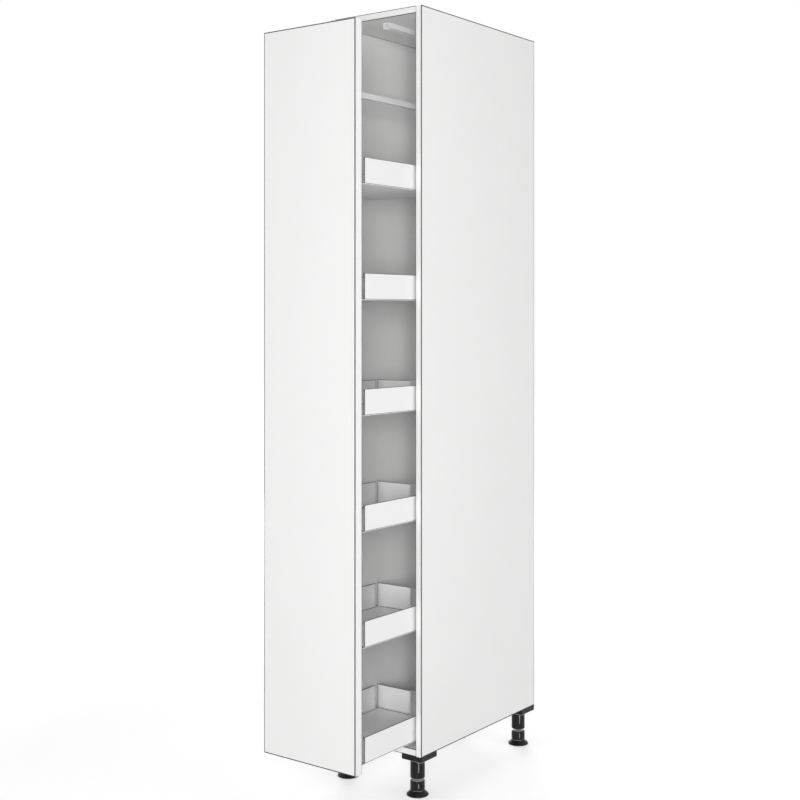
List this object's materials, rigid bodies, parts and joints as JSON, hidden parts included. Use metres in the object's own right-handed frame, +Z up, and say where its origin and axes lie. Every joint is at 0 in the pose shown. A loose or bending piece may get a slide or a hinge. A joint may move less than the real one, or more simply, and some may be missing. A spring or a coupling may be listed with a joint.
{
  "type": "pull out larder unit",
  "caption": "Tall narrow kitchen carcass on screw legs with a slab front that pulls out a frame of open trays on a base runner",
  "frame": {"origin": "on the floor under the middle of the unit's box as drawn, pull-out part open", "axes": "+X to the unit's right seen from the room, +Y from the room to the wall, +Z up"},
  "size_m": [0.3, 0.826, 2.03],
  "materials": {
    "white_laminate": "matt white melamine on chipboard",
    "painted_steel": "white powder coat",
    "zinc_plated_steel": "bright zinc plate",
    "ball_steel": "polished",
    "black_plastic": "fine moulded grain",
    "grey_plastic": "smooth moulded",
    "buffer_rubber": "soft",
    "beech": "raw, fluted"
  },
  "bodies": {
    "cabinet": {"side_panel_left": "white_laminate", "side_panel_right": "white_laminate", "top_board": "white_laminate", "base_board": "white_laminate", "back_panel": "white_laminate", "dowels": "beech", "cam_bolts": "zinc_plated_steel", "cam_housings": "zinc_plated_steel", "leg_sockets": "black_plastic", "wall_brackets": "zinc_plated_steel", "wood_screws": "zinc_plated_steel", "guide_rail": "painted_steel", "runner_base_member": "zinc_plated_steel", "runner_buffers": "buffer_rubber"},
    "pull_out": {"runner_top_member": "zinc_plated_steel", "post_spigots": "zinc_plated_steel", "spigot_screws": "zinc_plated_steel", "front_post": "painted_steel", "rear_post": "painted_steel", "post_cap": "grey_plastic", "top_beam": "painted_steel", "mast": "zinc_plated_steel", "guide_arm": "zinc_plated_steel", "guide_pins": "zinc_plated_steel", "frame_bolts": "zinc_plated_steel", "front_panel": "white_laminate", "panel_brackets": "zinc_plated_steel", "panel_screws": "zinc_plated_steel", "tray_hooks_front": "zinc_plated_steel", "tray_hooks_rear": "zinc_plated_steel", "tray_1_floor": "painted_steel", "tray_1_side_walls": "painted_steel", "tray_1_end_walls": "painted_steel", "tray_2_floor": "painted_steel", "tray_2_side_walls": "painted_steel", "tray_2_end_walls": "painted_steel", "tray_3_floor": "painted_steel", "tray_3_side_walls": "painted_steel", "tray_3_end_walls": "painted_steel", "tray_4_floor": "painted_steel", "tray_4_side_walls": "painted_steel", "tray_4_end_walls": "painted_steel", "tray_5_floor": "painted_steel", "tray_5_side_walls": "painted_steel", "tray_5_end_walls": "painted_steel", "tray_6_floor": "painted_steel", "tray_6_side_walls": "painted_steel", "tray_6_end_walls": "painted_steel"},
    "runner_middle": {"runner_middle_member": "zinc_plated_steel"},
    "lower_cages": {"lower_ball_cages": "grey_plastic", "lower_balls": "ball_steel"},
    "upper_cages": {"upper_ball_cages": "grey_plastic", "upper_balls": "ball_steel"},
    "guide_roller_front": {"guide_roller_front": "grey_plastic"},
    "guide_roller_rear": {"guide_roller_rear": "grey_plastic"},
    "foot_front_left": {"foot_front_left": "black_plastic"},
    "foot_front_right": {"foot_front_right": "black_plastic"},
    "foot_rear_left": {"foot_rear_left": "black_plastic"},
    "foot_rear_right": {"foot_rear_right": "black_plastic"}
  },
  "joints": [
    {"name": "pull_out_slide", "type": "slide", "parent": "cabinet", "child": "pull_out", "axis": [0, -1, 0], "range_m": [-0.238, 0.192]},
    {"name": "runner_middle_slide", "type": "slide", "parent": "cabinet", "child": "runner_middle", "axis": [0, -1, 0], "range_m": [-0.1191, 0.0961]},
    {"name": "lower_cages_slide", "type": "slide", "parent": "cabinet", "child": "lower_cages", "axis": [0, -1, 0], "range_m": [-0.0596, 0.0481]},
    {"name": "upper_cages_slide", "type": "slide", "parent": "cabinet", "child": "upper_cages", "axis": [0, -1, 0], "range_m": [-0.1786, 0.1441]},
    {"name": "guide_roller_front_spin", "type": "hinge", "parent": "pull_out", "child": "guide_roller_front", "pos_m": [0, 0.1115, 2.0045], "axis": [0, 0, 1], "continuous": true},
    {"name": "guide_roller_rear_spin", "type": "hinge", "parent": "pull_out", "child": "guide_roller_rear", "pos_m": [0, 0.1395, 2.0045], "axis": [0, 0, 1], "continuous": true},
    {"name": "foot_front_left_screw", "type": "slide", "parent": "cabinet", "child": "foot_front_left", "axis": [0, 0, -1], "range_m": [-0.004, 0.02]},
    {"name": "foot_front_right_screw", "type": "slide", "parent": "cabinet", "child": "foot_front_right", "axis": [0, 0, -1], "range_m": [-0.004, 0.02]},
    {"name": "foot_rear_left_screw", "type": "slide", "parent": "cabinet", "child": "foot_rear_left", "axis": [0, 0, -1], "range_m": [-0.004, 0.02]},
    {"name": "foot_rear_right_screw", "type": "slide", "parent": "cabinet", "child": "foot_rear_right", "axis": [0, 0, -1], "range_m": [-0.004, 0.02]}
  ],
  "couplings": [
    {"joint": "runner_middle_slide", "follows": "pull_out_slide", "ratio": 0.5},
    {"joint": "lower_cages_slide", "follows": "pull_out_slide", "ratio": 0.25},
    {"joint": "upper_cages_slide", "follows": "pull_out_slide", "ratio": 0.75}
  ]
}
